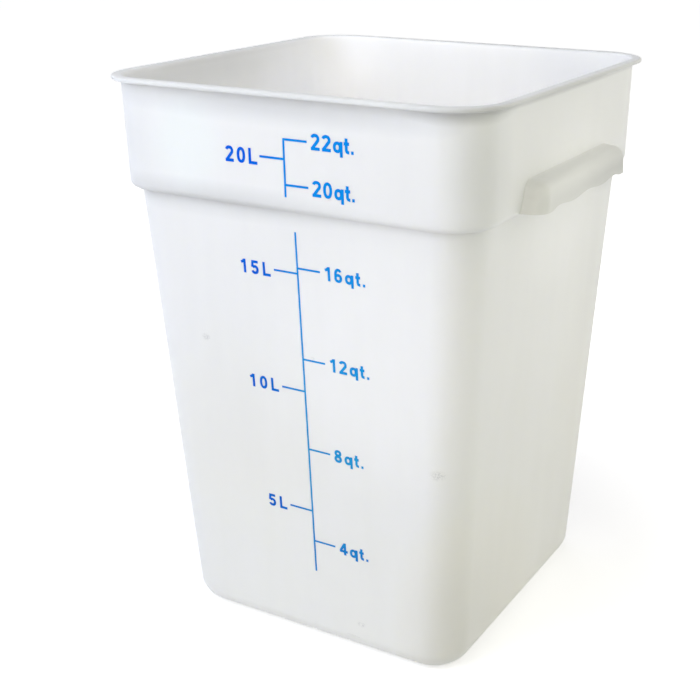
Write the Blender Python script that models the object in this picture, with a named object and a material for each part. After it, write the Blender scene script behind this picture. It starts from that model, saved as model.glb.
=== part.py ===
"""Square food storage container, moulded in white plastic, with a printed volume scale.

Run it with blender --background --python part.py, or from Blender's text editor.
Lengths are in metres and +Z is up. The origin is the middle of the base, on the plane
that the container stands on. The front, at -Y, carries the scale, and the two hooded
handles are on the band at +X and -X.
"""

import math

import bmesh
import bpy

MM = 0.001
QUARTER = math.pi / 2

# Outside of the tub. A half width runs from the middle to the flat of a wall. The body
# widens from base_half to body_half, and the band stands out from it by step_reach.
height = 396.0 * MM
band_depth = 75.5 * MM
base_half = 111.5 * MM
body_half = 130.0 * MM
step_reach = 6.5 * MM
band_draft = 1.5 * MM
rim_reach = 6.0 * MM

# Corner radii, seen from above.
body_corner = 27.5 * MM
band_corner = 31.0 * MM
recess_corner = 14.0 * MM

# Thicknesses and edges of the tub.
wall = 2.5 * MM
floor = 3.0 * MM
base_edge = 14.5 * MM
band_edge = 5.0 * MM
step_fillet = 1.0 * MM
inner_step_edge = 1.5 * MM
rim_thickness = 3.2 * MM
rim_edge = 1.4 * MM
rim_fillet = 1.0 * MM
lip_edge = 1.0 * MM

# Foot: the flat ring that the tub stands on, round a shallow recess.
foot_width = 9.0 * MM
recess_depth = 1.2 * MM

# Handles. Heights are measured up from the step, and the reach out from the band.
handle_reach = 15.0 * MM
handle_half_wall = 76.0 * MM
handle_half_face = 72.5 * MM
handle_lean_wall = 4.0 * MM
handle_lean_face = 1.0 * MM
handle_top_wall = 22.0 * MM
handle_top_face = 21.5 * MM
handle_corner = 10.0 * MM
handle_edge = 8.0 * MM
handle_wall = 2.5 * MM
lip_rise = 1.8 * MM
grip_pitch = 49.0 * MM
grip_depth = 2.2 * MM
grip_count = 3

# Printed scale on the front. Its lines stand a little right of the middle. The upper line
# lies between the step and the rim, and the lower one between the base and the step.
upper_scale_x = 5.7 * MM
lower_scale_x = 6.8 * MM
ink_line = 1.4 * MM
ink_film = 0.3 * MM
quart_reach = 17.1 * MM
litre_reach = 18.4 * MM
upper_scale_above_step = 10.3 * MM
upper_scale_below_top = 28.4 * MM
lower_scale_above_base = 57.5 * MM
lower_scale_below_step = 13.9 * MM

# Ticks as shares of their line's height: quarts to the right and litres to the left.
# The same volume needs less height where the body is wider, so the ticks close up.
upper_quart_shares = (0.204, 0.984)
upper_litre_shares = (0.644,)
lower_quart_shares = (0.099, 0.386, 0.650, 0.904)
lower_litre_shares = (0.195, 0.557, 0.889)

# Clearance between pieces, and how far a cutter runs past what it cuts.
seat_gap = 0.3 * MM
overrun = 3.0 * MM

# Places that follow from the sizes.
step_z = height - band_depth
band_half_low = body_half + step_reach
band_half_top = band_half_low + band_draft
rim_half = band_half_top + rim_reach
rim_corner = band_corner + rim_reach

# Facets in each quarter turn.
corner_steps = 10
large_edge_steps = 6
edge_steps = 4
small_edge_steps = 3
grip_steps = 8

smooth_angle = math.radians(32)

# Finishes: colours as linear red, green and blue.
plastic_colour = (0.88, 0.885, 0.87)
plastic_roughness = 0.38
ink_colour = (0.0, 0.16, 0.75)
ink_roughness = 0.45


def wall_half(z):
    """Half width of the tub's outside at height z, without the rounded edges."""
    if z < step_z:
        return base_half + (body_half - base_half) * z / step_z
    return band_half_low + band_draft * (z - step_z) / band_depth


def quarter(steps):
    """Shares of a quarter arc: how far it has come in from its start, and how far it has risen."""
    angles = [QUARTER * step / steps for step in range(steps + 1)]
    return [(1 - math.cos(angle), math.sin(angle)) for angle in angles]


def ring(half, corner, z):
    """Points of a rounded square at height z, anticlockwise seen from above."""
    points = []
    centre = half - corner
    for side, (sign_x, sign_y) in enumerate(((1, 1), (-1, 1), (-1, -1), (1, -1))):
        for step in range(corner_steps + 1):
            angle = QUARTER * (side + step / corner_steps)
            x = sign_x * centre + corner * math.cos(angle)
            y = sign_y * centre + corner * math.sin(angle)
            points.append((x, y, z))
    return points


def loft(name, sections):
    """Closed mesh through sections that have the same number of points."""
    mesh = bmesh.new()
    rows = [[mesh.verts.new(point) for point in section] for section in sections]
    count = len(rows[0])
    for lower, upper in zip(rows, rows[1:]):
        for index in range(count):
            following = (index + 1) % count
            mesh.faces.new((lower[index], lower[following], upper[following], upper[index]))
    mesh.faces.new(rows[0])
    mesh.faces.new(rows[-1])
    return finished(name, mesh)


def prism(name, outline, low, high, place):
    """Closed mesh of an outline swept from low to high; place turns (a, b, sweep) into a point."""
    return loft(name, [[place(a, b, sweep) for a, b in outline] for sweep in (low, high)])


def finished(name, mesh):
    """Blender mesh data with its faces pointing out and its round stretches shaded smooth."""
    bmesh.ops.recalc_face_normals(mesh, faces=mesh.faces)
    data = bpy.data.meshes.new(name)
    mesh.to_mesh(data)
    mesh.free()
    data.shade_smooth()
    data.set_sharp_from_angle(angle=smooth_angle)
    return data


def finish(name, colour, roughness):
    """Principled material of one colour that isn't metal."""
    material = bpy.data.materials.new(name)
    material.use_nodes = True
    shader = material.node_tree.nodes["Principled BSDF"]
    shader.inputs["Base Color"].default_value = (*colour, 1.0)
    shader.inputs["Roughness"].default_value = roughness
    shader.inputs["Metallic"].default_value = 0.0
    return material


def place_object(name, data, parent, material=None):
    """Object that shows data, parented to the container's empty."""
    item = bpy.data.objects.new(name, data)
    bpy.context.scene.collection.objects.link(item)
    item.parent = parent
    if material is not None and not data.materials:
        data.materials.append(material)
    return item


def outside_stations():
    """Half width, corner radius and height of each ring, from the recess up to the rim's top."""
    foot_half = base_half - base_edge
    stations = [
        (foot_half - foot_width - recess_depth, recess_corner, recess_depth),
        (foot_half - foot_width, recess_corner + recess_depth, 0.0),
    ]
    # The base edge is read from its foot up, so its quarter arc is taken backwards.
    for come_in, rise in reversed(quarter(large_edge_steps)):
        z = base_edge * (1 - rise)
        inset = base_edge * come_in
        stations.append((wall_half(z) - inset, body_corner - inset, z))
    # The wall turns out under the band through a small fillet.
    fillet_z = step_z - step_fillet
    for come_in, rise in quarter(small_edge_steps):
        out = step_fillet * come_in
        stations.append((wall_half(fillet_z) + out, body_corner + out, fillet_z + step_fillet * rise))
    for come_in, rise in reversed(quarter(edge_steps)):
        z = step_z + band_edge * (1 - rise)
        inset = band_edge * come_in
        stations.append((wall_half(z) - inset, band_corner - inset, z))
    # The band turns out under the rim in the same way.
    rim_low = height - rim_thickness
    fillet_z = rim_low - rim_fillet
    for come_in, rise in quarter(small_edge_steps):
        out = rim_fillet * come_in
        stations.append((wall_half(fillet_z) + out, band_corner + out, fillet_z + rim_fillet * rise))
    for come_in, rise in reversed(quarter(small_edge_steps)):
        inset = rim_edge * come_in
        stations.append((rim_half - inset, rim_corner - inset, rim_low + rim_edge * (1 - rise)))
    for come_in, rise in quarter(small_edge_steps):
        inset = rim_edge * come_in
        stations.append((rim_half - inset, rim_corner - inset, height - rim_edge * (1 - rise)))
    return stations


def inside_stations():
    """The same for the inside, from the rim's top down to the floor."""
    stations = []
    for come_in, rise in reversed(quarter(small_edge_steps)):
        z = height - lip_edge * (1 - rise)
        out = lip_edge * come_in
        stations.append((wall_half(z) - wall + out, band_corner - wall + out, z))
    # The ledge inside the step is one wall thickness above the step's underside.
    ledge_z = step_z + wall
    bend = band_edge - wall
    for come_in, rise in quarter(edge_steps):
        z = ledge_z + bend * (1 - rise)
        inset = wall + bend * come_in
        stations.append((wall_half(z) - inset, band_corner - inset, z))
    for come_in, rise in reversed(quarter(small_edge_steps)):
        z = ledge_z - inner_step_edge * (1 - rise)
        out = inner_step_edge * come_in - wall
        stations.append((body_half + out, body_corner + out, z))
    bend = base_edge - wall
    floor_z = floor + recess_depth
    for come_in, rise in quarter(large_edge_steps):
        z = floor_z + bend * (1 - rise)
        inset = wall + bend * come_in
        stations.append((wall_half(z) - inset, body_corner - inset, z))
    return stations


def tub_mesh():
    """The whole tub as one lofted skin: outside up, over the rim and inside down to the floor."""
    stations = outside_stations() + inside_stations()
    return loft("container_body", [ring(*station) for station in stations])


def arch(half, lean, top, corner, foot_z):
    """Outline of a handle across the wall: up one leaning side, over the top and down the other."""
    centre_y = half - lean - corner
    centre_z = step_z + top - corner
    right = [(half, foot_z)]
    for come_in, rise in quarter(edge_steps):
        right.append((centre_y + corner * (1 - come_in), centre_z + corner * rise))
    left = [(-y, z) for y, z in reversed(right)]
    return right + left


def hood(name, shell, foot_z):
    """The handle's bulk, or with shell its hollow: arches from inside the wall out to the face."""
    face_x = band_half_low + handle_reach - shell
    edge = handle_edge - shell
    root_x = band_half_low - band_edge - overrun
    shoulder_x = face_x - edge
    stations = [(root_x, 0.0), (band_half_low, 0.0)]
    stations += [(shoulder_x + edge * rise, edge * come_in) for come_in, rise in quarter(edge_steps)]
    sections = []
    for x, inset in stations:
        share = max(x - band_half_low, 0.0) / handle_reach
        half = handle_half_wall + (handle_half_face - handle_half_wall) * share
        lean = handle_lean_wall + (handle_lean_face - handle_lean_wall) * share
        top = handle_top_wall + (handle_top_face - handle_top_wall) * share
        thick = shell + inset
        outline = arch(half - thick, lean, top - thick, handle_corner - thick, foot_z)
        sections.append([(x, y, z) for y, z in outline])
    return loft(name, sections)


def wall_cutter():
    """The band's side, with its rounded lower edge, grown by the seat gap."""
    inner_x = band_half_low - band_edge - overrun
    top_z = step_z + handle_top_wall + overrun
    corner_z = step_z + band_edge
    corner_x = wall_half(corner_z) - band_edge
    radius = band_edge + seat_gap
    low_z = step_z - overrun
    outline = [(inner_x - overrun, low_z), (corner_x, low_z)]
    for come_in, rise in reversed(quarter(large_edge_steps)):
        outline.append((corner_x + radius * (1 - come_in), corner_z - radius * rise))
    outline += [(wall_half(top_z) + seat_gap, top_z), (inner_x - overrun, top_z)]
    reach_y = handle_half_wall + overrun
    return prism("wall_cutter", outline, -reach_y, reach_y, lambda x, z, y: (x, y, z))


def grip_cutter():
    """Everything below the handle's lower lip, whose edge rises in one scallop for each finger."""
    lip_z = step_z + lip_rise
    low_z = step_z - 3 * overrun
    reach_y = handle_half_wall + 2 * overrun
    half_grip = grip_pitch * grip_count / 2
    outline = [(-reach_y, low_z), (-reach_y, lip_z)]
    for step in range(grip_count * grip_steps + 1):
        turns = step / grip_steps
        rise = grip_depth * (1 - math.cos(2 * math.pi * turns)) / 2
        outline.append((grip_pitch * turns - half_grip, lip_z + rise))
    outline += [(reach_y, lip_z), (reach_y, low_z)]
    low_x = band_half_low - band_edge - 3 * overrun
    high_x = band_half_low + handle_reach + overrun
    return prism("grip_cutter", outline, low_x, high_x, lambda y, z, x: (x, y, z))


def handle_mesh(parent):
    """The right handle: its bulk less the hollow, the wall behind it and the scallops."""
    foot_z = step_z - overrun
    bulk = place_object("handle_bulk", hood("handle_bulk", 0.0, foot_z), parent)
    cutters = [
        place_object("hollow_cutter", hood("hollow_cutter", handle_wall, foot_z - overrun), parent),
        place_object("wall_cutter", wall_cutter(), parent),
        place_object("grip_cutter", grip_cutter(), parent),
    ]
    for cutter in cutters:
        cutter.hide_render = True
        cutter.display_type = "WIRE"
        cut = bulk.modifiers.new(cutter.name, "BOOLEAN")
        cut.operation = "DIFFERENCE"
        cut.solver = "EXACT"
        cut.object = cutter
    bpy.context.view_layer.update()
    evaluated = bulk.evaluated_get(bpy.context.evaluated_depsgraph_get())
    data = bpy.data.meshes.new_from_object(evaluated)
    data.name = "handle"
    data.shade_smooth()
    data.set_sharp_from_angle(angle=smooth_angle)
    for item in [bulk] + cutters:
        bpy.data.objects.remove(item, do_unlink=True)
    return data


def scale_outline(length, quart_shares, litre_shares):
    """Outline of a line with ticks, anticlockwise from its foot: quarts right, litres left."""
    half = ink_line / 2
    right = [(half, 0.0)]
    for share in quart_shares:
        middle = length * share
        low, high = middle - half, min(middle + half, length)
        right += [(half, low), (quart_reach, low), (quart_reach, high), (half, high)]
    if right[-1][1] < length:
        right.append((half, length))
    left = [(-half, length)]
    for share in reversed(litre_shares):
        middle = length * share
        low, high = middle - half, middle + half
        left += [(-half, high), (-litre_reach, high), (-litre_reach, low), (-half, low)]
    left.append((-half, 0.0))
    return right + left


def add_scale(name, x, low_z, high_z, quart_shares, litre_shares, parent, ink):
    """One printed line with its ticks, lying on the sloping front wall between two heights."""
    spread = wall_half(high_z) - wall_half(low_z)
    tilt = math.atan2(spread, high_z - low_z)
    length = math.hypot(spread, high_z - low_z)
    outline = scale_outline(length, quart_shares, litre_shares)
    data = prism(name, outline, seat_gap, seat_gap + ink_film, lambda right, up, out: (right, up, out))
    scale = place_object(name, data, parent, ink)
    scale.location = (x, -wall_half(low_z), low_z)
    scale.rotation_euler = (QUARTER + tilt, 0.0, 0.0)
    return scale


def build():
    """Remove what the scene holds and make the container."""
    for item in list(bpy.data.objects):
        bpy.data.objects.remove(item, do_unlink=True)
    white = finish("white_plastic", plastic_colour, plastic_roughness)
    ink = finish("blue_ink", ink_colour, ink_roughness)

    container = bpy.data.objects.new("container", None)
    bpy.context.scene.collection.objects.link(container)

    place_object("container_body", tub_mesh(), container, white)
    handle = handle_mesh(container)
    place_object("right_handle", handle, container, white)
    place_object("left_handle", handle, container, white).rotation_euler = (0.0, 0.0, math.pi)
    add_scale("upper_scale", upper_scale_x, step_z + upper_scale_above_step, height - upper_scale_below_top,
              upper_quart_shares, upper_litre_shares, container, ink)
    add_scale("lower_scale", lower_scale_x, lower_scale_above_base, step_z - lower_scale_below_step,
              lower_quart_shares, lower_litre_shares, container, ink)


build()
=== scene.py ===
import math
import operator

import bpy
import bmesh
from mathutils import Matrix, Vector


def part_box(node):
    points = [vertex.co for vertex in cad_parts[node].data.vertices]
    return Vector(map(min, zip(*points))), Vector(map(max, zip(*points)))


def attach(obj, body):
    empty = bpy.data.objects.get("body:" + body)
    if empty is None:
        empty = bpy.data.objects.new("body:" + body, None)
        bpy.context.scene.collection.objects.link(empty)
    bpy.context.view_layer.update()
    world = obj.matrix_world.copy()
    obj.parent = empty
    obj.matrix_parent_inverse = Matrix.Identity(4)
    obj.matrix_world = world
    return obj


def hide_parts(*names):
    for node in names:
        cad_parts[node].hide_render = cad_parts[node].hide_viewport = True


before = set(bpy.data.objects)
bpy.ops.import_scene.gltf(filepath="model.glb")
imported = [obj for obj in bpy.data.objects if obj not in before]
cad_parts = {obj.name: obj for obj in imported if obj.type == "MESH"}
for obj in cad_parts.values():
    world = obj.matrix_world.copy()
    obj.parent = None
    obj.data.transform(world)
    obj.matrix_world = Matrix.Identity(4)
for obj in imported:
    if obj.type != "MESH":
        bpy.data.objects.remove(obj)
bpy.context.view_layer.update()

MM = 0.001
QUARTER = math.pi / 2
FRAME_PIXELS = 700

# Sizes read from the frame, at the high corners of the boxes.
tub_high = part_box("container_body")[1]
handle_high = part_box("right_handle")[1]
height = tub_high.z
rim_half = tub_high.x
face_x = handle_high.x

# The tub's other sizes, as the frame has them.
band_depth = 75.5 * MM
base_half = 111.5 * MM
body_half = 130.0 * MM
step_reach = 6.5 * MM
band_draft = 1.5 * MM
body_corner = 27.5 * MM
band_corner = 31.0 * MM
recess_corner = 14.0 * MM
wall = 2.5 * MM
floor = 3.0 * MM
base_edge = 14.5 * MM
band_edge = 5.0 * MM
step_fillet = 1.0 * MM
inner_step_edge = 1.5 * MM
rim_thickness = 3.2 * MM
rim_edge = 1.4 * MM
rim_fillet = 1.0 * MM
lip_edge = 3.0 * MM
foot_width = 9.0 * MM
recess_depth = 1.2 * MM
step_z = height - band_depth
band_half_low = body_half + step_reach
rim_reach = rim_half - band_half_low - band_draft
rim_corner = band_corner + rim_reach

# The handles' sizes, heights measured up from the step.
handle_reach = face_x - band_half_low
handle_half_wall = 76.0 * MM
handle_half_face = 72.5 * MM
handle_lean_wall = 4.0 * MM
handle_lean_face = 1.0 * MM
handle_top_wall = 22.0 * MM
handle_top_face = 21.5 * MM
handle_corner = 10.0 * MM
handle_edge = 8.0 * MM
handle_wall = 2.5 * MM
handle_fillet = 0.6 * MM
least_edge = 1.0 * MM
lip_bevel = 0.6 * MM
lip_rise = 2.2 * MM
grip_pitch = 49.0 * MM
grip_depth = 1.9 * MM
grip_count = 3
grip_end = 61.0 * MM
root_depth = 0.8 * MM

# Print on the front wall: two lines with ticks, and a number beside each tick.
quart_reach = 17.1 * MM
lower_line_ends = (57.5 * MM, 306.6 * MM)
upper_line_ends = (330.6 * MM, 367.5 * MM)
lower_line_pen = 1.3 * MM
upper_line_pen = 1.45 * MM
ink_depth = 0.1 * MM
ink_proud = 0.05 * MM
lower_capital = 9.4 * MM
upper_capital = 10.2 * MM
number_pen_share = 0.195
half_pen = number_pen_share / 2

# Numbers: text, height of its tick, how far its middle is below that, and its first cell's start.
quart_numbers = (
    ("22qt.", 366.9 * MM, -0.4 * MM, 24.9 * MM),
    ("20qt.", 338.4 * MM, 0.0, 24.9 * MM),
    ("16qt.", 282.5 * MM, 0.3 * MM, 25.8 * MM),
    ("12qt.", 219.4 * MM, 0.0, 26.0 * MM),
    ("8qt.", 153.4 * MM, 0.0, 26.5 * MM),
    ("4qt.", 82.0 * MM, 0.0, 27.0 * MM),
)
litre_numbers = (
    ("20L", 354.5 * MM, 0.6 * MM, -39.7 * MM),
    ("15L", 278.8 * MM, 0.6 * MM, -39.5 * MM),
    ("10L", 196.1 * MM, 0.0, -39.5 * MM),
    ("5L", 105.6 * MM, 0.0, -30.4 * MM),
)

# Space added between the cells of a number, on the band and on the body.
quart_tracking = (0.0, 0.65 * MM)
litre_tracking = (1.0 * MM, 1.9 * MM)

# Plastic: the two shades that it is mottled with near the rim and then near the foot, the heights
# between which the foot's turn into the rim's, and what multiplies them on the tub, and on the handles a
# painted shade.
whites = (
    ((0.92, 0.925, 0.93), (0.94, 0.945, 0.95)),
    ((0.93, 0.923, 0.885), (0.95, 0.943, 0.905)),
)
warm_span = (90 * MM, 340 * MM)
tub_tint = (1.0, 1.0, 1.0)
handle_painted_shade = (0.92, 0.92, 0.885)
plastic_roughness = (0.31, 0.37)
plastic_shine = 0.25
glow_reach = 1.5 * MM
glow_colour = (1.0, 1.0, 0.95)

# The thick rim: its painted shade, greyer than the walls, and its shine, how much of them its side has at
# the lower edge, how far below that edge they begin, and how far out from the inner wall they grow.
painted_rim_shade = (0.77, 0.775, 0.77, 1)
rim_shine = 0.05
rim_side_share = 0.1
rim_blend = 1.0 * MM
rim_growth = (0.5 * MM, 2.5 * MM)

# Noise in the plastic, its scales in bumps per metre. Heights times the squeeze give upright streaks,
# and a span is the part of a noise that is spread over two shades or two degrees of gloss.
cloud_scale = 16
streak_scale = 70
streak_squeeze = 0.12
mottle_span = (0.7, 1.3)
noise_span = (0.3, 0.7)
gloss_scale = 70
wave_scale = 22
wave_strength = 0.5
wave_depth = 0.6 * MM
peel_scale = 650
peel_strength = 0.3
peel_depth = 0.03 * MM

# Painted shade, as centre, reach and amount: soft darker areas at the rim, step, corners, right wall,
# handle face and inside.
painted_shades = (
    ((0, -137 * MM, 386 * MM), (165 * MM, 12 * MM, 13 * MM), 0.15),
    ((-60 * MM, -136 * MM, 321 * MM), (150 * MM, 16 * MM, 15 * MM), 0.17),
    ((143 * MM, 0, 392 * MM), (14 * MM, 200 * MM, 4 * MM), 0.38),
    ((126 * MM, -126 * MM, 391.5 * MM), (45 * MM, 45 * MM, 8 * MM), 0.2),
    ((133 * MM, -118 * MM, 352 * MM), (28 * MM, 30 * MM, 70 * MM), 0.1),
    ((134 * MM, 100 * MM, 318 * MM), (20 * MM, 55 * MM, 18 * MM), 0.2),
    ((122 * MM, 110 * MM, 200 * MM), (40 * MM, 90 * MM, 150 * MM), 0.07),
    ((122 * MM, -95 * MM, 10 * MM), (60 * MM, 120 * MM, 135 * MM), 0.14),
    ((-60 * MM, -124 * MM, 150 * MM), (90 * MM, 20 * MM, 110 * MM), 0.04),
    ((152 * MM, 40 * MM, 327 * MM), (13 * MM, 130 * MM, 15 * MM), 0.25),
    ((152 * MM, 60 * MM, 333 * MM), (13 * MM, 80 * MM, 14 * MM), 0.12),
    ((-112 * MM, -137 * MM, 352 * MM), (26 * MM, 14 * MM, 50 * MM), 0.06),
    ((-140 * MM, 0, 395 * MM), (11 * MM, 200 * MM, 5 * MM), 0.07),
    ((0, 141 * MM, 395.5 * MM), (170 * MM, 6 * MM, 5 * MM), 0.22),
    ((-133 * MM, -40 * MM, 392 * MM), (9 * MM, 130 * MM, 22 * MM), 0.1),
)

# Small smudges on the front wall, as centre and reach.
scuffs = (
    ((-72.5 * MM, -124.3 * MM, 221.0 * MM), (4.0 * MM, 2.0 * MM, 3.0 * MM)),
    ((105.0 * MM, -120.0 * MM, 156.0 * MM), (7.0 * MM, 6.0 * MM, 4.5 * MM)),
    ((14.5 * MM, -124.2 * MM, 221.5 * MM), (2.0 * MM, 2.0 * MM, 1.2 * MM)),
    ((36.0 * MM, -110.0 * MM, 12.5 * MM), (8.0 * MM, 6.0 * MM, 0.9 * MM)),
    ((42.0 * MM, -113.0 * MM, 24.0 * MM), (4.0 * MM, 6.0 * MM, 2.5 * MM)),
)

# The smudges' colour, how much of it they take, how much rougher they are, and what breaks them up.
scuff_grey = (0.45, 0.45, 0.46, 1)
scuff_strength = 0.5
scuff_roughness = 0.2
scuff_scale = 900
scuff_span = (0.42, 0.58)

# The shares of its reach at which a soft area begins to fade and is gone.
fade_shares = (0.2, 1.0)

# Ink: its deep and its pale blue, each as it is low on the wall and near the rim, and the heights
# between which the first turns into the second.
deep_blues = ((0.0, 0.13, 0.64, 1), (0.0, 0.11, 0.8, 1))
pale_blues = ((0.02, 0.34, 0.7, 1), (0.0, 0.28, 0.86, 1))
vivid_span = (150 * MM, 350 * MM)

# How pale the ink gets towards the right, at the foot of the line and in patches, and where.
pale_span = (-20 * MM, 3 * MM)
most_pale = 0.85
foot_span = (70 * MM, 130 * MM)
foot_share = 0.5
patch_scale = 160
patch_span = (0.35, 0.7)
patch_pale = 0.25
ink_gloss_scale = 500
ink_roughness = (0.42, 0.52)
ink_shine = 0.05

# Floor: its shade, how brightly it glows near the container, and the distances between which that
# grows to the backdrop's pure white.
floor_shade = (0.8, 0.8, 0.8, 1)
floor_roughness = 0.9
floor_glow = 0.5
floor_fade = (0.2, 0.6)
floor_half = 6.0
backdrop_white = (1, 1, 1, 1)

# Lamps: name, azimuth and elevation in degrees, power in watts and colour. A spot lamp also has the
# point that it aims at, the reach of its disc of light there and how soft the disc's edge is.
lamp_distance = 1.5
area_lamp_size = 1.2
spot_lamp_radius = 10 * MM
area_lamps = (
    ("key", -30, 30, 13.2, (0.76, 0.84, 1.0)),
    ("high_key", -30, 55, 3.7, (1.0, 0.98, 0.93)),
    ("front", 5, 20, 3.0, (1.0, 0.82, 0.56)),
    ("near_camera", 40, 45, 5.3, (0.99, 1.0, 0.985)),
    ("right", 85, 10, 4.1, (0.94, 1.0, 0.72)),
    ("back_right", 130, 20, 7.5, (1.0, 0.965, 0.96)),
    ("back_left", -130, 55, 6.0, (0.9, 0.9, 1.0)),
)
spot_lamps = (
    ("inside", 0, 90, 40, (1.0, 0.92, 0.95), (0, 0, height), 128 * MM, 0.15),
    ("inner_corner", 45, 30, 15.5, (1.0, 0.97, 0.92), (-120 * MM, 128 * MM, 376 * MM), 38 * MM, 1.0),
    ("inner_back", 10, 33, 8.4, (1.0, 0.9, 0.7), (-30 * MM, 134 * MM, 345 * MM), 115 * MM, 0.8),
    ("inner_left", 80, 35, 17.5, (0.84, 0.85, 1.0), (-134 * MM, 90 * MM, 310 * MM), 92 * MM, 1.0),
    ("right_wall", 90, 10, 6.0, (1.0, 1.0, 0.96), (135 * MM, 10 * MM, 315 * MM), 75 * MM, 1.0),
    ("band_patch", 0, 20, 4.5, (0.3, 1.0, 0.95), (-70 * MM, -137 * MM, 357 * MM), 27 * MM, 0.35),
    ("front_wall", 10, 10, 5.5, (1.0, 0.98, 0.96), (70 * MM, -125 * MM, 225 * MM), 105 * MM, 1.0),
)

# Steps in each quarter turn, along the flats and up the walls.
corner_steps = 20
large_edge_steps = 12
edge_steps = 7
small_edge_steps = 5
side_steps = 10
body_rows = 24
band_rows = 8
hood_rows = 5
side_rows = 8
top_columns = 72
pen_steps = 20
bevel_steps = 3

# Edges that turn more than these stay sharp in the shading, and on the handles they are bevelled.
tub_crease = math.radians(40)
handle_crease = math.radians(50)
ink_crease = math.radians(30)


def wall_half(z):
    """Half width of the tub's outside at height z, without the rounded edges."""
    if z < step_z:
        return base_half + (body_half - base_half) * z / step_z
    return band_half_low + band_draft * (z - step_z) / band_depth


def quarter(steps):
    """Shares of a quarter arc: how far it has come in from its start, and how far it has risen."""
    angles = [QUARTER * step / steps for step in range(steps + 1)]
    return [(1 - math.cos(angle), math.sin(angle)) for angle in angles]


def between(start, end, steps):
    """Evenly spaced values from start to end, without the two ends."""
    return [start + (end - start) * step / steps for step in range(1, steps)]


def ring(half, corner, z):
    """Points of a rounded square at height z, anticlockwise, with its flats divided as well."""
    points = []
    centre = half - corner
    for side in range(4):
        turn = Matrix.Rotation(QUARTER * side, 3, "Z")
        for step in range(corner_steps + 1):
            angle = QUARTER * step / corner_steps
            x = centre + corner * math.cos(angle)
            y = centre + corner * math.sin(angle)
            points.append(turn @ Vector((x, y, z)))
        for x in between(centre, -centre, side_steps):
            points.append(turn @ Vector((x, half, z)))
    return points


def new_object(name, mesh, material, smooth_angle=None):
    """Object from a bmesh, shaded smooth but for edges sharper than smooth_angle."""
    bmesh.ops.recalc_face_normals(mesh, faces=mesh.faces)
    data = bpy.data.meshes.new(name)
    mesh.to_mesh(data)
    mesh.free()
    data.shade_smooth()
    if smooth_angle is not None:
        data.set_sharp_from_angle(angle=smooth_angle)
    item = bpy.data.objects.new(name, data)
    bpy.context.scene.collection.objects.link(item)
    data.materials.append(material)
    return item


def outside_stations():
    """Half width, corner radius and height of each ring, from the recess up to the rim's top."""
    foot_half = base_half - base_edge
    stations = [
        (foot_half - foot_width - recess_depth, recess_corner, recess_depth),
        (foot_half - foot_width, recess_corner + recess_depth, 0.0),
    ]
    for come_in, rise in reversed(quarter(large_edge_steps)):
        z = base_edge * (1 - rise)
        inset = base_edge * come_in
        stations.append((wall_half(z) - inset, body_corner - inset, z))
    fillet_z = step_z - step_fillet
    for z in between(base_edge, fillet_z, body_rows):
        stations.append((wall_half(z), body_corner, z))
    for come_in, rise in quarter(small_edge_steps):
        out = step_fillet * come_in
        stations.append((wall_half(fillet_z) + out, body_corner + out, fillet_z + step_fillet * rise))
    for come_in, rise in reversed(quarter(edge_steps)):
        z = step_z + band_edge * (1 - rise)
        inset = band_edge * come_in
        stations.append((wall_half(z) - inset, band_corner - inset, z))
    rim_low = height - rim_thickness
    fillet_z = rim_low - rim_fillet
    for z in between(step_z + band_edge, fillet_z, band_rows):
        stations.append((wall_half(z), band_corner, z))
    for come_in, rise in quarter(small_edge_steps):
        out = rim_fillet * come_in
        stations.append((wall_half(fillet_z) + out, band_corner + out, fillet_z + rim_fillet * rise))
    for come_in, rise in reversed(quarter(small_edge_steps)):
        inset = rim_edge * come_in
        stations.append((rim_half - inset, rim_corner - inset, rim_low + rim_edge * (1 - rise)))
    for come_in, rise in quarter(small_edge_steps):
        inset = rim_edge * come_in
        stations.append((rim_half - inset, rim_corner - inset, height - rim_edge * (1 - rise)))
    return stations


def inside_stations():
    """The same for the inside, from the rim's top down to the floor."""
    stations = []
    for come_in, rise in reversed(quarter(small_edge_steps)):
        z = height - lip_edge * (1 - rise)
        out = lip_edge * come_in
        stations.append((wall_half(z) - wall + out, band_corner - wall + out, z))
    ledge_z = step_z + wall
    bend = band_edge - wall
    for z in between(height - lip_edge, ledge_z + bend, band_rows):
        stations.append((wall_half(z) - wall, band_corner - wall, z))
    for come_in, rise in quarter(edge_steps):
        z = ledge_z + bend * (1 - rise)
        inset = wall + bend * come_in
        stations.append((wall_half(z) - inset, band_corner - inset, z))
    for come_in, rise in reversed(quarter(small_edge_steps)):
        z = ledge_z - inner_step_edge * (1 - rise)
        out = inner_step_edge * come_in - wall
        stations.append((body_half + out, body_corner + out, z))
    bend = base_edge - wall
    floor_z = floor + recess_depth
    for z in between(step_z - inner_step_edge, floor_z + bend, body_rows):
        stations.append((wall_half(z) - wall, body_corner - wall, z))
    for come_in, rise in quarter(large_edge_steps):
        z = floor_z + bend * (1 - rise)
        inset = wall + bend * come_in
        stations.append((wall_half(z) - inset, body_corner - inset, z))
    return stations


def make_tub(material):
    """The whole tub as one skin: outside up, over the rim and inside down to the floor."""
    mesh = bmesh.new()
    rows = []
    for station in outside_stations() + inside_stations():
        rows.append([mesh.verts.new(point) for point in ring(*station)])
    count = len(rows[0])
    for lower, upper in zip(rows, rows[1:]):
        for index in range(count):
            following = (index + 1) % count
            mesh.faces.new((lower[index], lower[following], upper[following], upper[index]))
    mesh.faces.new(rows[0])
    mesh.faces.new(rows[-1])
    return new_object("container_moulding", mesh, material, tub_crease)


# Handles

def band_x(z):
    """Where the band's outside lies at height z, with its rounded lower edge."""
    bend_z = step_z + band_edge
    if z >= bend_z:
        return wall_half(z)
    drop = min(bend_z - z, band_edge)
    return wall_half(bend_z) - band_edge + math.sqrt(band_edge ** 2 - drop ** 2)


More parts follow.
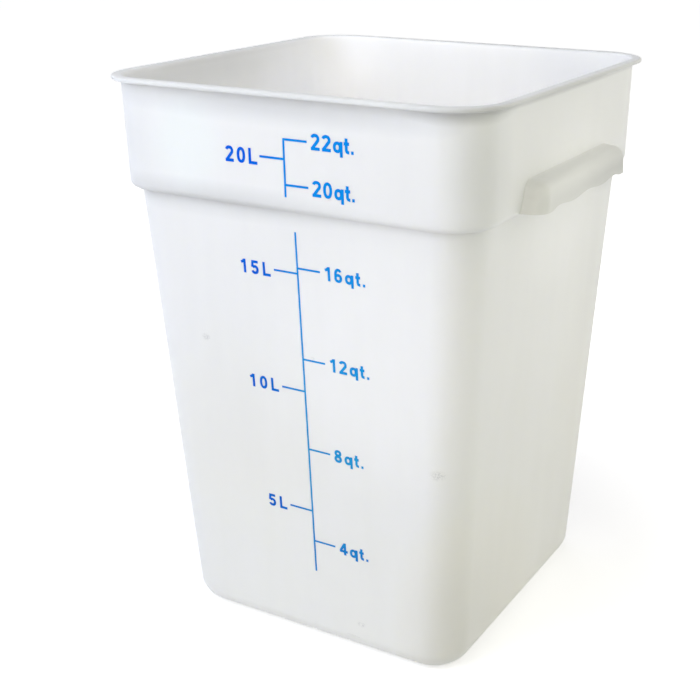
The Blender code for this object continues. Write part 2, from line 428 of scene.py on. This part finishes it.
def lip(y):
    """Height of the handle's lower edge at y: one scallop for each finger, the outer ones ending short."""
    middle = grip_pitch * (grip_count - 1) / 2
    past = max(abs(y) - middle, 0.0) / (grip_end - middle)
    turns = min(past, 1.0) / 2 if past > 0 else y / grip_pitch
    return step_z + lip_rise + grip_depth * (1 + math.cos(2 * math.pi * turns)) / 2


def outline(depth, grow):
    """Arch of a handle at some depth out from the band, grown or shrunk: left foot, top, right foot."""
    share = min(max(depth / handle_reach, 0.0), 1.0)
    half = handle_half_wall + (handle_half_face - handle_half_wall) * share + grow
    lean = handle_lean_wall + (handle_lean_face - handle_lean_wall) * share
    top = step_z + handle_top_wall + (handle_top_face - handle_top_wall) * share + grow
    corner = handle_corner + grow
    centre_y, centre_z = half - lean - corner, top - corner
    foot_z = step_z + lip_rise
    side = []
    for row in range(side_rows + 1):
        rise = row / side_rows
        side.append((half - lean * rise, foot_z + (centre_z - foot_z) * rise))
    arc = [(centre_y + corner * (1 - come_in), centre_z + corner * rise)
           for come_in, rise in quarter(edge_steps)][1:]
    right = side + arc
    left = [(-y, z) for y, z in right]
    flat = [(y, top) for y in between(-centre_y, centre_y, top_columns)]
    return left + flat + right[::-1]


def hood_stations(shell):
    """Depth out from the band and growth of each arch: fillet, side, rounded edge."""
    stations = [(-root_depth, handle_fillet - shell)]
    reach = handle_reach - shell
    edge = max(handle_edge - shell, least_edge)
    for come_in, rise in quarter(small_edge_steps):
        stations.append((handle_fillet * come_in, handle_fillet * (1 - rise) - shell))
    for depth in between(handle_fillet, reach - edge, hood_rows):
        stations.append((depth, -shell))
    for come_in, rise in quarter(edge_steps):
        stations.append((reach - edge + edge * rise, -shell - edge * come_in))
    return stations


def hood_skin(mesh, shell):
    """One skin of a handle. Returns its rows of vertices and its lower edge from wall to wall."""
    rows = []
    for depth, grow in hood_stations(shell):
        row = []
        for y, z in outline(depth, grow):
            settle = (band_x(z) - band_half_low) * (1 - max(depth, 0.0) / handle_reach) ** 2
            row.append(mesh.verts.new((band_half_low + settle + depth, y, z)))
        rows.append(row)
    for inner, outer in zip(rows, rows[1:]):
        for index in range(len(inner) - 1):
            mesh.faces.new((inner[index], inner[index + 1], outer[index + 1], outer[index]))
    # The flat face is a grid between the last arch and the scalloped lower edge.
    edge = rows[-1]
    count = len(edge)
    columns = [[edge[index] for index in range(side_rows + 1)]]
    for index in range(side_rows + 1, count - side_rows - 1):
        head = edge[index].co
        column = []
        for step in range(side_rows):
            foot = lip(head.y)
            column.append(mesh.verts.new((head.x, head.y, foot + (head.z - foot) * step / side_rows)))
        column.append(edge[index])
        columns.append(column)
    columns.append([edge[count - 1 - index] for index in range(side_rows + 1)])
    for left, right in zip(columns, columns[1:]):
        for step in range(side_rows):
            mesh.faces.new((left[step], right[step], right[step + 1], left[step + 1]))
    hem = [row[0] for row in rows] + [column[0] for column in columns[1:-1]]
    hem += [row[-1] for row in reversed(rows)]
    return rows, hem


def make_handle(name, material):
    """A hooded grip: an outer skin and an inner one, joined round the lower edge and at the root."""
    mesh = bmesh.new()
    outer_rows, outer_hem = hood_skin(mesh, 0.0)
    inner_rows, inner_hem = hood_skin(mesh, handle_wall)
    for outer, inner in ((outer_hem, inner_hem), (outer_rows[0], inner_rows[0])):
        for index in range(len(outer) - 1):
            mesh.faces.new((outer[index], outer[index + 1], inner[index + 1], inner[index]))
    item = new_object(name, mesh, material, handle_crease)
    soften = item.modifiers.new("soft_lips", "BEVEL")
    soften.limit_method = "ANGLE"
    soften.angle_limit = handle_crease
    soften.width = lip_bevel
    soften.segments = bevel_steps
    return item


# Print

def oval(x, y, reach_x, reach_y, start=0, end=360):
    """Points of a slightly squared oval round (x, y), from one angle in degrees to another."""
    squareness = 0.9
    points = []
    for step in range(pen_steps + 1):
        angle = math.radians(start + (end - start) * step / pen_steps)
        across, up = math.cos(angle), math.sin(angle)
        points.append((x + reach_x * math.copysign(abs(across) ** squareness, across),
                       y + reach_y * math.copysign(abs(up) ** squareness, up)))
    return points


# Pen strokes of each glyph and the width of its cell, in shares of the height of a capital. A
# stroke is the path of the pen's middle, and one that ends where it starts is a ring.
glyph_shares = {
    "0": (0.774, [oval(0.30, 0.50, 0.22, 0.50 - half_pen)]),
    "1": (0.774, [[(0.33, 0.0), (0.33, 1.0)], [(0.03, 0.75), (0.17, 0.80), (0.31, 0.93)]]),
    "2": (0.774, [oval(0.305, 0.70, 0.215, 0.30 - half_pen, 165, -28) + [(0.09, half_pen)],
                  [(0.0, half_pen), (0.62, half_pen)]]),
    "4": (0.774, [[(0.40, 0.91), (0.09, 0.34)], [(0.0, 0.30), (0.68, 0.30)],
                  [(0.455, 0.0), (0.455, 1.0)]]),
    "5": (0.774, [[(0.57, 1.0 - half_pen), (0.13, 1.0 - half_pen), (0.09, 0.50)],
                  oval(0.29, 0.33, 0.22, 0.33 - half_pen, 142, -160)]),
    "6": (0.774, [oval(0.305, 0.315, 0.21, 0.315 - half_pen),
                  oval(0.315, 0.515, 0.22, 0.485 - half_pen, 38, 195)]),
    "8": (0.774, [oval(0.295, 0.735, 0.185, 0.265 - half_pen), oval(0.295, 0.29, 0.21, 0.29 - half_pen)]),
    "L": (0.80, [[(half_pen, 1.0), (half_pen, half_pen), (0.64, half_pen)]]),
    "q": (0.81, [oval(0.27, 0.345, 0.20, 0.345 - half_pen), [(0.54, -0.24), (0.54, 0.69)]]),
    "t": (0.38, [[(0.175, 0.92), (0.175, 0.22), (0.215, 0.13), (0.30, half_pen), (0.37, half_pen)],
                 [(0.0, 0.60), (0.37, 0.60)]]),
    ".": (0.42, [[(0.0, half_pen), (0.175, half_pen)]]),
}


def pen_body(name, path, pen):
    """Closed body of one stroke, a unit deep: the path widened by half the pen to both sides."""
    ring_shaped = (Vector(path[0]) - Vector(path[-1])).length < pen / 100
    points = [Vector(point) for point in (path[:-1] if ring_shaped else path)]
    count = len(points)
    mesh = bmesh.new()
    rows = []
    for index, point in enumerate(points):
        before, after = points[index - 1], points[(index + 1) % count]
        runs = []
        if ring_shaped or index > 0:
            runs.append((point - before).normalized())
        if ring_shaped or index < count - 1:
            runs.append((after - point).normalized())
        sides = [Vector((-run.y, run.x)) for run in runs]
        across = sum(sides, Vector((0, 0))).normalized()
        across *= pen / 2 / across.dot(sides[0])
        corners = ((point - across, 0), (point + across, 0), (point + across, 1), (point - across, 1))
        rows.append([mesh.verts.new((*corner, depth)) for corner, depth in corners])
    for first, second in zip(rows, rows[1:] + rows[:1] if ring_shaped else rows[1:]):
        for index in range(4):
            following = (index + 1) % 4
            mesh.faces.new((first[index], second[index], second[following], first[following]))
    if not ring_shaped:
        mesh.faces.new(rows[0])
        mesh.faces.new(rows[-1])
    bmesh.ops.recalc_face_normals(mesh, faces=mesh.faces)
    data = bpy.data.meshes.new(name)
    mesh.to_mesh(data)
    mesh.free()
    item = bpy.data.objects.new(name, data)
    bpy.context.scene.collection.objects.link(item)
    return item


def joined_strokes(name, paths, pen):
    """One mesh of several strokes, a unit deep, joined where they cross."""
    bodies = [pen_body(name, path, pen) for path in paths]
    for body in bodies[1:]:
        join = bodies[0].modifiers.new("join", "BOOLEAN")
        join.operation = "UNION"
        join.object = body
    bpy.context.view_layer.update()
    data = bpy.data.meshes.new_from_object(bodies[0].evaluated_get(bpy.context.evaluated_depsgraph_get()))
    for body in bodies:
        bpy.data.objects.remove(body)
    return data


def print_on_front(name, mesh, x, z, ink):
    """Object of a flat print, whose x runs right, y up and unit z out, laid on the front at (x, z)."""
    widening, rise = (body_half - base_half, step_z) if z < step_z else (band_draft, band_depth)
    right = Vector((1, 0, 0))
    up = Vector((0, -widening / rise, 1))
    out = right.cross(up).normalized()
    place = Matrix.Translation(Vector((x, -wall_half(z), z)) + out * (ink_proud - ink_depth))
    turn = Matrix((right, up, out * ink_depth)).transposed().to_4x4()
    bmesh.ops.transform(mesh, matrix=place @ turn, verts=mesh.verts)
    item = new_object(name, mesh, ink, ink_crease)
    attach(item, "root")
    return item


def make_line(name, cad_name, ends, pen, ink):
    """Line of the scale between two heights, with the ticks that it carries, as wide as the CAD's."""
    box_low, box_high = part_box(cad_name)
    line_x = box_high.x - quart_reach
    litre_reach = line_x - box_low.x
    low, high = ends
    paths = [[(0, 0), (0, high - low)]]
    for numbers, reach in ((quart_numbers, quart_reach), (litre_numbers, -litre_reach)):
        for text, tick_z, drop, start in numbers:
            if low < tick_z < high:
                paths.append([(0, tick_z - low), (reach, tick_z - low)])
    mesh = bmesh.new()
    mesh.from_mesh(joined_strokes(name, paths, pen))
    line = print_on_front(name, mesh, line_x, low, ink)
    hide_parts(cad_name)
    return line


def glyph_meshes():
    """Mesh of each glyph with its ink in the middle of its cell, one capital high."""
    meshes = {}
    for letter, (cell, paths) in glyph_shares.items():
        data = joined_strokes("glyph", paths, number_pen_share)
        across = [vertex.co.x for vertex in data.vertices]
        data.transform(Matrix.Translation((cell / 2 - (min(across) + max(across)) / 2, 0, 0)))
        meshes[letter] = data
    return meshes


def make_number(name, text, middle_z, start, tracking, glyphs, ink):
    """One number of the scale, with the middle of its capitals at a height."""
    on_band = middle_z > step_z
    capital = upper_capital if on_band else lower_capital
    space = tracking[0] if on_band else tracking[1]
    mesh = bmesh.new()
    x = 0.0
    for letter in text:
        first = len(mesh.verts)
        mesh.from_mesh(glyphs[letter])
        mesh.verts.ensure_lookup_table()
        place = Matrix.Translation((x, 0, 0)) @ Matrix.Diagonal((capital, capital, 1, 1))
        bmesh.ops.transform(mesh, matrix=place, verts=mesh.verts[first:])
        x += glyph_shares[letter][0] * capital + space
    return print_on_front(name, mesh, start, middle_z - capital / 2, ink)


# Materials

def add_node(tree, kind, inputs=None, **settings):
    """New shader node with its settings, and its inputs given as values or as sockets to link."""
    item = tree.nodes.new(kind)
    for key, value in settings.items():
        setattr(item, key, value)
    for key, value in (inputs or {}).items():
        if isinstance(value, bpy.types.NodeSocket):
            tree.links.new(value, item.inputs[key])
        else:
            item.inputs[key].default_value = value
    return item


def noise(tree, place, scale, detail=2.0, roughness=0.5):
    """Noise over the object's own coordinates, in bumps per metre."""
    inputs = {"Vector": place, "Scale": scale, "Detail": detail, "Roughness": roughness}
    return add_node(tree, "ShaderNodeTexNoise", inputs).outputs["Fac"]


def spread(tree, value, span, result):
    """Value carried from one range to another and held inside it."""
    inputs = {"Value": value, "From Min": span[0], "From Max": span[1],
              "To Min": result[0], "To Max": result[1]}
    return add_node(tree, "ShaderNodeMapRange", inputs).outputs["Result"]


def combine(tree, operation, first, second):
    """Result of a sum, product or greatest of two values."""
    return add_node(tree, "ShaderNodeMath", {0: first, 1: second}, operation=operation).outputs[0]


def combine_vectors(tree, operation, *vectors):
    """Vector that an operation makes of one or two vectors, or the length of one."""
    item = add_node(tree, "ShaderNodeVectorMath", dict(enumerate(vectors)), operation=operation)
    return item.outputs["Value" if operation == "LENGTH" else "Vector"]


def mix_colours(tree, share, first, second):
    """Blend of two colours."""
    inputs = {"Factor": share, 6: first, 7: second}
    return add_node(tree, "ShaderNodeMix", inputs, data_type="RGBA").outputs[2]


def new_material(name):
    """Material with nodes, its tree and its Principled shader."""
    material = bpy.data.materials.new(name)
    material.use_nodes = True
    return material, material.node_tree, material.node_tree.nodes["Principled BSDF"]


def soft_oval(tree, place, centre, reach):
    """1 round a point of the surface, falling to 0 at the reach in each direction."""
    away = combine_vectors(tree, "SUBTRACT", place, centre)
    size = combine_vectors(tree, "LENGTH", combine_vectors(tree, "DIVIDE", away, reach))
    return spread(tree, size, fade_shares, (1.0, 0.0))


def on_rim(tree, place):
    """1 on the thick rim's top, less down its side, 0 below: where the rim is greyed with painted shade
    and shines less.
    """
    rim_low = height - rim_thickness
    rise = add_node(tree, "ShaderNodeSeparateXYZ", {"Vector": place}).outputs["Z"]
    high = spread(tree, rise, (rim_low - rim_blend, rim_low), (0.0, 1.0))
    high = combine(tree, "MULTIPLY", high, spread(tree, rise, (rim_low, height), (rim_side_share, 1.0)))
    # The distance past a square inside is even all round, corners too.
    square = rim_half - rim_corner
    past = combine_vectors(tree, "ABSOLUTE", place)
    past = combine_vectors(tree, "SUBTRACT", past, (square, square, height))
    past = combine_vectors(tree, "LENGTH", combine_vectors(tree, "MAXIMUM", past, (0, 0, 0)))
    inside = rim_corner - rim_reach - wall
    span = [inside + width for width in rim_growth]
    return combine(tree, "MULTIPLY", high, spread(tree, past, span, (0.0, 1.0)))


def plastic_colour(tree, place, tint, marks, rim):
    """Mottled and streaked white, warmer at the foot, with smudges, a rim greyed by painted shade, and
    painted shade in soft areas.
    """
    rise = add_node(tree, "ShaderNodeSeparateXYZ", {"Vector": place}).outputs["Z"]
    tall = combine_vectors(tree, "MULTIPLY", place, (1, 1, streak_squeeze))
    mottle = combine(tree, "ADD", noise(tree, place, cloud_scale, detail=4),
                     noise(tree, tall, streak_scale, detail=3))
    mottle = spread(tree, mottle, mottle_span, (0.0, 1.0))
    high, low = [[[*map(operator.mul, shade, tint), 1] for shade in pair] for pair in whites]
    colour = mix_colours(tree, spread(tree, rise, warm_span, (0.0, 1.0)),
                         mix_colours(tree, mottle, *low), mix_colours(tree, mottle, *high))
    colour = mix_colours(tree, combine(tree, "MULTIPLY", marks, scuff_strength), colour, scuff_grey)
    # Painted shade: the thick rim greyed.
    colour = mix_colours(tree, rim, colour, painted_rim_shade)
    # Painted shade in soft areas, mixed towards black.
    for centre, reach, amount in painted_shades:
        shade = combine(tree, "MULTIPLY", soft_oval(tree, place, centre, reach), amount)
        colour = mix_colours(tree, shade, colour, (0, 0, 0, 1))
    return colour


def scuff_marks(tree, place):
    """1 in the smudges, broken up by a fine noise."""
    breaks = spread(tree, noise(tree, place, scuff_scale, detail=3, roughness=0.6), scuff_span, (0.0, 1.0))
    marks = None
    for centre, reach in scuffs:
        mark = combine(tree, "MULTIPLY", soft_oval(tree, place, centre, reach), breaks)
        marks = mark if marks is None else combine(tree, "MAXIMUM", marks, mark)
    return marks


def plastic_material(name, tint, glow):
    """White moulded plastic of some tint. Its glow is the share of light that goes into it."""
    material, tree, shader = new_material(name)
    place = add_node(tree, "ShaderNodeTexCoord").outputs["Object"]
    marks = scuff_marks(tree, place)
    rim = on_rim(tree, place)
    tree.links.new(plastic_colour(tree, place, tint, marks, rim), shader.inputs["Base Color"])
    gloss = noise(tree, place, gloss_scale, detail=6, roughness=0.65)
    gloss = spread(tree, gloss, noise_span, plastic_roughness)
    gloss = combine(tree, "ADD", gloss, combine(tree, "MULTIPLY", marks, scuff_roughness))
    tree.links.new(gloss, shader.inputs["Roughness"])
    waves = add_node(tree, "ShaderNodeBump", {"Height": noise(tree, place, wave_scale, detail=1),
                                              "Strength": wave_strength, "Distance": wave_depth})
    peel = add_node(tree, "ShaderNodeBump", {"Height": noise(tree, place, peel_scale, detail=2),
                                             "Strength": peel_strength, "Distance": peel_depth,
                                             "Normal": waves.outputs[0]})
    tree.links.new(peel.outputs[0], shader.inputs["Normal"])
    shine = spread(tree, rim, (0.0, 1.0), (plastic_shine, rim_shine))
    tree.links.new(shine, shader.inputs["Specular IOR Level"])
    shader.inputs["Subsurface Weight"].default_value = glow
    shader.inputs["Subsurface Radius"].default_value = glow_colour
    shader.inputs["Subsurface Scale"].default_value = glow_reach
    return material


def ink_material():
    """Blue screen print, paler to the right and in patches, and more vivid near the rim."""
    material, tree, shader = new_material("blue_ink")
    place = add_node(tree, "ShaderNodeTexCoord").outputs["Object"]
    sides = add_node(tree, "ShaderNodeSeparateXYZ", {"Vector": place}).outputs
    across = spread(tree, sides["X"], pale_span, (0.0, most_pale))
    across = combine(tree, "MULTIPLY", across, spread(tree, sides["Z"], foot_span, (foot_share, 1.0)))
    patches = spread(tree, noise(tree, place, patch_scale, detail=3), patch_span, (0.0, patch_pale))
    rise = spread(tree, sides["Z"], vivid_span, (0.0, 1.0))
    deep = mix_colours(tree, rise, *deep_blues)
    pale = mix_colours(tree, rise, *pale_blues)
    blue = mix_colours(tree, combine(tree, "ADD", across, patches), deep, pale)
    tree.links.new(blue, shader.inputs["Base Color"])
    gloss = spread(tree, noise(tree, place, ink_gloss_scale, detail=2), noise_span, ink_roughness)
    tree.links.new(gloss, shader.inputs["Roughness"])
    shader.inputs["Specular IOR Level"].default_value = ink_shine
    return material


# Camera, light and stage

def make_camera():
    """Camera fitted to the photograph: its place round the object, its lens and its shift."""
    azimuth = math.radians(30.119)
    distance = 866.473 * MM
    eye_z = 511.096 * MM
    yaw = azimuth - math.radians(0.781)
    pitch = math.radians(18.466)
    roll = math.radians(-0.033)
    focal_pixels = 1236.367
    centre_x, centre_y = 405.168, 301.912
    eye = Vector((distance * math.sin(azimuth), -distance * math.cos(azimuth), eye_z))
    ahead = Vector((-math.sin(yaw) * math.cos(pitch), math.cos(yaw) * math.cos(pitch), -math.sin(pitch)))
    right = ahead.cross(Vector((0, 0, 1))).normalized()
    down = ahead.cross(right)
    right, down = (right * math.cos(roll) + down * math.sin(roll),
                   down * math.cos(roll) - right * math.sin(roll))
    data = bpy.data.cameras.new("camera")
    data.sensor_width = 36
    data.lens = focal_pixels * data.sensor_width / FRAME_PIXELS
    data.shift_x = (FRAME_PIXELS / 2 - centre_x) / FRAME_PIXELS
    data.shift_y = (centre_y - FRAME_PIXELS / 2) / FRAME_PIXELS
    data.clip_start = 10 * MM
    camera = bpy.data.objects.new("camera", data)
    bpy.context.scene.collection.objects.link(camera)
    camera.matrix_world = Matrix.Translation(eye) @ Matrix((right, -down, -ahead)).transposed().to_4x4()
    bpy.context.scene.camera = camera


def new_lamp(kind, name, azimuth, elevation, power, colour, aim):
    """Lamp that aims at a point from an azimuth and an elevation. Returns its data."""
    data = bpy.data.lights.new(name, kind)
    data.energy = power
    data.color = colour
    lamp = bpy.data.objects.new(name, data)
    bpy.context.scene.collection.objects.link(lamp)
    turn, lift = math.radians(azimuth), math.radians(elevation)
    back = Vector((math.sin(turn) * math.cos(lift), -math.cos(turn) * math.cos(lift), math.sin(lift)))
    lamp.location = Vector(aim) + back * lamp_distance
    lamp.rotation_euler = back.to_track_quat("Z", "Y").to_euler()
    return data


def make_lamps():
    """Soft square lamps that look at the middle of the container, and spot lamps on parts of it."""
    for name, azimuth, elevation, power, colour in area_lamps:
        data = new_lamp("AREA", name, azimuth, elevation, power, colour, (0, 0, height / 2))
        data.shape = "SQUARE"
        data.size = area_lamp_size
    for name, azimuth, elevation, power, colour, aim, reach, soft in spot_lamps:
        data = new_lamp("SPOT", name, azimuth, elevation, power, colour, aim)
        data.spot_size = 2 * math.atan(reach / lamp_distance)
        data.spot_blend = soft
        data.shadow_soft_size = spot_lamp_radius


def backdrop_rays(tree):
    """1 for the rays that see the white backdrop: from the camera, a gloss or through the wall."""
    path = add_node(tree, "ShaderNodeLightPath").outputs
    seen = combine(tree, "MAXIMUM", path["Is Camera Ray"], path["Is Transmission Ray"])
    return combine(tree, "MAXIMUM", seen, path["Is Glossy Ray"])


def make_stage():
    """Pale floor that keeps the shadow, and a white world behind it."""
    material, tree, shader = new_material("pale_floor")
    shader.inputs["Base Color"].default_value = floor_shade
    shader.inputs["Roughness"].default_value = floor_roughness
    shader.inputs["Specular IOR Level"].default_value = 0.0
    shader.inputs["Emission Color"].default_value = backdrop_white
    # The floor is as white as the backdrop away from the container, and a shade near it.
    place = add_node(tree, "ShaderNodeNewGeometry").outputs["Position"]
    white = spread(tree, combine_vectors(tree, "LENGTH", place), floor_fade, (floor_glow, 1.0))
    glow = combine(tree, "MULTIPLY", backdrop_rays(tree), white)
    tree.links.new(glow, shader.inputs["Emission Strength"])
    mesh = bmesh.new()
    bmesh.ops.create_grid(mesh, x_segments=1, y_segments=1, size=floor_half)
    floor_piece = new_object("floor", mesh, material)
    world = bpy.data.worlds.new("studio")
    bpy.context.scene.world = world
    world.use_nodes = True
    tree = world.node_tree
    background = tree.nodes["Background"]
    tree.links.new(backdrop_rays(tree), background.inputs["Strength"])
    background.inputs["Color"].default_value = backdrop_white


tub = make_tub(plastic_material("white_plastic", tub_tint, glow=1.0))
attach(tub, "root")
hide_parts("container_body")
# The handles' darker, warmer tint is painted shade.
handle_plastic = plastic_material("handle_plastic", handle_painted_shade, glow=0.0)
for name, turn in (("right_handle", 0.0), ("left_handle", math.pi)):
    handle = make_handle(name + "_grip", handle_plastic)
    handle.data.transform(Matrix.Rotation(turn, 4, "Z"))
    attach(handle, "root")
    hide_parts(name)

ink = ink_material()
make_line("upper_printed_line", "upper_scale", upper_line_ends, upper_line_pen, ink)
make_line("lower_printed_line", "lower_scale", lower_line_ends, lower_line_pen, ink)
glyphs = glyph_meshes()
for unit, numbers, tracking in (("quart", quart_numbers, quart_tracking),
                                ("litre", litre_numbers, litre_tracking)):
    for text, tick_z, drop, start in numbers:
        name = "number_" + "".join(letter for letter in text if letter.isdigit()) + "_" + unit
        make_number(name, text, tick_z - drop, start, tracking, glyphs, ink)

make_camera()
make_lamps()
make_stage()
bpy.context.scene.view_settings.view_transform = "Standard"
